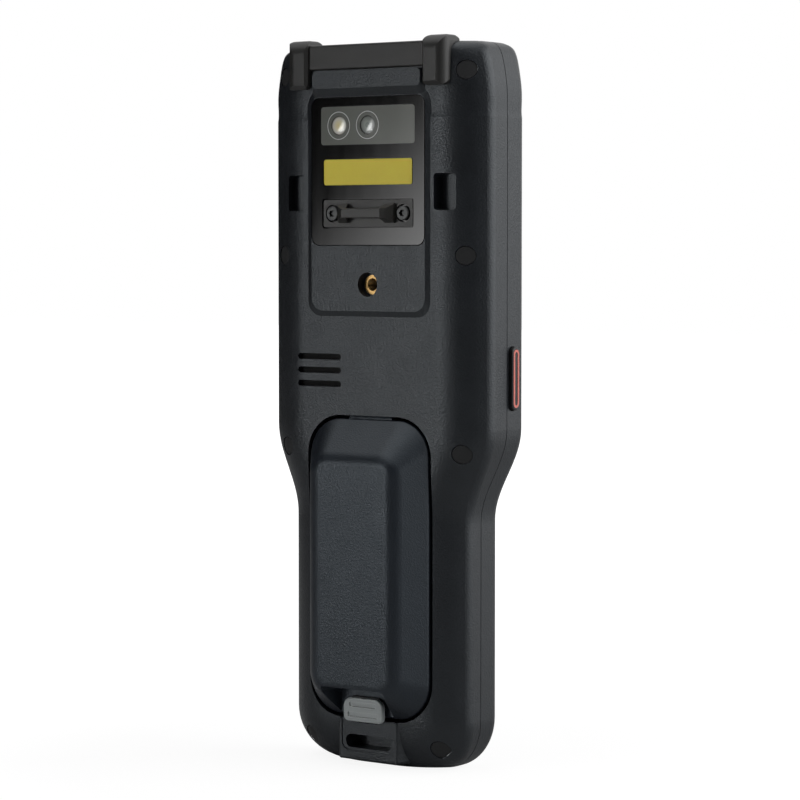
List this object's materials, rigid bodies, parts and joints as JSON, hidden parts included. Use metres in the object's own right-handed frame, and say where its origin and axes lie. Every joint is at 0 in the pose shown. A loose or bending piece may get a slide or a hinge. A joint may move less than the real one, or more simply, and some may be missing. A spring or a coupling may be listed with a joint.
{
  "type": "barcode data terminal",
  "caption": "Handheld barcode terminal with a wide head, narrower grip, tilt-out battery pack with slide latch, rear camera panel, strap bar, side scan keys and keypad.",
  "frame": {"origin": "centre of the bounding box on the standing surface, under the foot", "axes": "+Z from the foot to the scanning end, +Y out of the battery side, -Y out of the display and keypad side, +X to the right when the battery side is turned away"},
  "size_m": [0.089, 0.0391, 0.2358],
  "materials": {
    "bar_metal": "dark satin paint",
    "battery_plastic": "fine-grained matte charcoal",
    "board_green": "solder mask",
    "bumper_rubber": "smooth satin charcoal",
    "cell_wrap": "satin film",
    "contact_gold": "gold plated",
    "dark_glass": "glossy black",
    "display_panel": "glossy",
    "frame_metal": "satin",
    "housing": "fine-grained matte charcoal",
    "insert_brass": "machined",
    "key_plastic": "satin grey",
    "key_scan_yellow": "satin amber",
    "label_yellow": "matte printed yellow",
    "latch_black": "matte black",
    "latch_grey": "satin grey",
    "lens_clear": "clear",
    "light_pipe": "clear",
    "mat_silicone": "matte",
    "mesh_cloth": "black woven",
    "module_black": "matte black",
    "panel_gloss": "glossy black",
    "plug_rubber": "matte charcoal",
    "ring_red": "satin coral red",
    "screw_black": "blackened",
    "screw_steel": "zinc plated",
    "seal_rubber": "smooth black",
    "side_rubber": "smooth black",
    "window_clear": "glossy tinted"
  },
  "bodies": {
    "casing": {"blank_label": "label_yellow", "board_screws": "screw_steel", "camera_lenses": "lens_clear", "camera_module": "module_black", "camera_panel": "panel_gloss", "camera_window": "window_clear", "case_screws": "screw_steel", "contact_block": "module_black", "display": "display_panel", "display_frame": "frame_metal", "dock_connector": "module_black", "dock_contacts": "contact_gold", "flash_module": "module_black", "front_housing": "housing", "housing_seal": "seal_rubber", "keypad_board": "board_green", "keypad_mat": "mat_silicone", "main_board": "board_green", "microphone": "frame_metal", "rear_housing": "housing", "scan_engine": "module_black", "scan_window": "dark_glass", "screw_plugs": "plug_rubber", "side_switches": "board_green", "speaker": "module_black", "speaker_mesh": "mesh_cloth", "status_light": "light_pipe", "strap_bar": "bar_metal", "strap_plate": "panel_gloss", "strap_screws": "screw_black", "threaded_insert": "insert_brass", "top_bumper": "bumper_rubber", "touch_glass": "dark_glass"},
    "battery_pack": {"battery_shell": "battery_plastic", "battery_cells": "cell_wrap", "battery_contacts": "contact_gold"},
    "battery_latch": {"latch_slider": "latch_black", "latch_cap": "latch_grey"},
    "side_key_right": {"side_key_right": "side_rubber", "side_ring_right": "ring_red"},
    "side_key_left": {"side_key_left": "side_rubber", "side_ring_left": "ring_red"},
    "key_0": {"key_0": "key_plastic"},
    "key_1": {"key_1": "key_plastic"},
    "key_2": {"key_2": "key_plastic"},
    "key_3": {"key_3": "key_plastic"},
    "key_4": {"key_4": "key_plastic"},
    "key_5": {"key_5": "key_plastic"},
    "key_6": {"key_6": "key_plastic"},
    "key_7": {"key_7": "key_plastic"},
    "key_8": {"key_8": "key_plastic"},
    "key_9": {"key_9": "key_plastic"},
    "key_clear": {"key_clear": "key_plastic"},
    "key_down": {"key_down": "key_plastic"},
    "key_enter": {"key_enter": "key_plastic"},
    "key_left": {"key_left": "key_plastic"},
    "key_right": {"key_right": "key_plastic"},
    "key_scan": {"key_scan": "key_scan_yellow"},
    "key_shift": {"key_shift": "key_plastic"},
    "key_up": {"key_up": "key_plastic"}
  },
  "joints": [
    {"name": "battery_tilt", "type": "hinge", "parent": "casing", "child": "battery_pack", "pos_m": [0, 0.0058, 0.1131], "axis": [1, 0, 0], "range_deg": [0, 20]},
    {"name": "battery_latch_slide", "type": "slide", "parent": "battery_pack", "child": "battery_latch", "axis": [0, 0, 1], "range_m": [0, 0.002], "stiffness_N_per_m": 400, "springref_m": -0.002},
    {"name": "side_key_right_press", "type": "slide", "parent": "casing", "child": "side_key_right", "axis": [-1, 0, 0], "range_m": [0, 0.0008], "stiffness_N_per_m": 1500, "springref_m": -0.0006},
    {"name": "side_key_left_press", "type": "slide", "parent": "casing", "child": "side_key_left", "axis": [1, 0, 0], "range_m": [0, 0.0008], "stiffness_N_per_m": 1500, "springref_m": -0.0006},
    {"name": "key_0_press", "type": "slide", "parent": "casing", "child": "key_0", "axis": [0, 1, 0], "range_m": [0, 0.0008], "stiffness_N_per_m": 1000, "springref_m": -0.0006},
    {"name": "key_1_press", "type": "slide", "parent": "casing", "child": "key_1", "axis": [0, 1, 0], "range_m": [0, 0.0008], "stiffness_N_per_m": 1000, "springref_m": -0.0006},
    {"name": "key_2_press", "type": "slide", "parent": "casing", "child": "key_2", "axis": [0, 1, 0], "range_m": [0, 0.0008], "stiffness_N_per_m": 1000, "springref_m": -0.0006},
    {"name": "key_3_press", "type": "slide", "parent": "casing", "child": "key_3", "axis": [0, 1, 0], "range_m": [0, 0.0008], "stiffness_N_per_m": 1000, "springref_m": -0.0006},
    {"name": "key_4_press", "type": "slide", "parent": "casing", "child": "key_4", "axis": [0, 1, 0], "range_m": [0, 0.0008], "stiffness_N_per_m": 1000, "springref_m": -0.0006},
    {"name": "key_5_press", "type": "slide", "parent": "casing", "child": "key_5", "axis": [0, 1, 0], "range_m": [0, 0.0008], "stiffness_N_per_m": 1000, "springref_m": -0.0006},
    {"name": "key_6_press", "type": "slide", "parent": "casing", "child": "key_6", "axis": [0, 1, 0], "range_m": [0, 0.0008], "stiffness_N_per_m": 1000, "springref_m": -0.0006},
    {"name": "key_7_press", "type": "slide", "parent": "casing", "child": "key_7", "axis": [0, 1, 0], "range_m": [0, 0.0008], "stiffness_N_per_m": 1000, "springref_m": -0.0006},
    {"name": "key_8_press", "type": "slide", "parent": "casing", "child": "key_8", "axis": [0, 1, 0], "range_m": [0, 0.0008], "stiffness_N_per_m": 1000, "springref_m": -0.0006},
    {"name": "key_9_press", "type": "slide", "parent": "casing", "child": "key_9", "axis": [0, 1, 0], "range_m": [0, 0.0008], "stiffness_N_per_m": 1000, "springref_m": -0.0006},
    {"name": "key_clear_press", "type": "slide", "parent": "casing", "child": "key_clear", "axis": [0, 1, 0], "range_m": [0, 0.0008], "stiffness_N_per_m": 1000, "springref_m": -0.0006},
    {"name": "key_down_press", "type": "slide", "parent": "casing", "child": "key_down", "axis": [0, 1, 0], "range_m": [0, 0.0008], "stiffness_N_per_m": 1000, "springref_m": -0.0006},
    {"name": "key_enter_press", "type": "slide", "parent": "casing", "child": "key_enter", "axis": [0, 1, 0], "range_m": [0, 0.0008], "stiffness_N_per_m": 1000, "springref_m": -0.0006},
    {"name": "key_left_press", "type": "slide", "parent": "casing", "child": "key_left", "axis": [0, 1, 0], "range_m": [0, 0.0008], "stiffness_N_per_m": 1000, "springref_m": -0.0006},
    {"name": "key_right_press", "type": "slide", "parent": "casing", "child": "key_right", "axis": [0, 1, 0], "range_m": [0, 0.0008], "stiffness_N_per_m": 1000, "springref_m": -0.0006},
    {"name": "key_scan_press", "type": "slide", "parent": "casing", "child": "key_scan", "axis": [0, 1, 0], "range_m": [0, 0.0008], "stiffness_N_per_m": 1000, "springref_m": -0.0006},
    {"name": "key_shift_press", "type": "slide", "parent": "casing", "child": "key_shift", "axis": [0, 1, 0], "range_m": [0, 0.0008], "stiffness_N_per_m": 1000, "springref_m": -0.0006},
    {"name": "key_up_press", "type": "slide", "parent": "casing", "child": "key_up", "axis": [0, 1, 0], "range_m": [0, 0.0008], "stiffness_N_per_m": 1000, "springref_m": -0.0006}
  ]
}
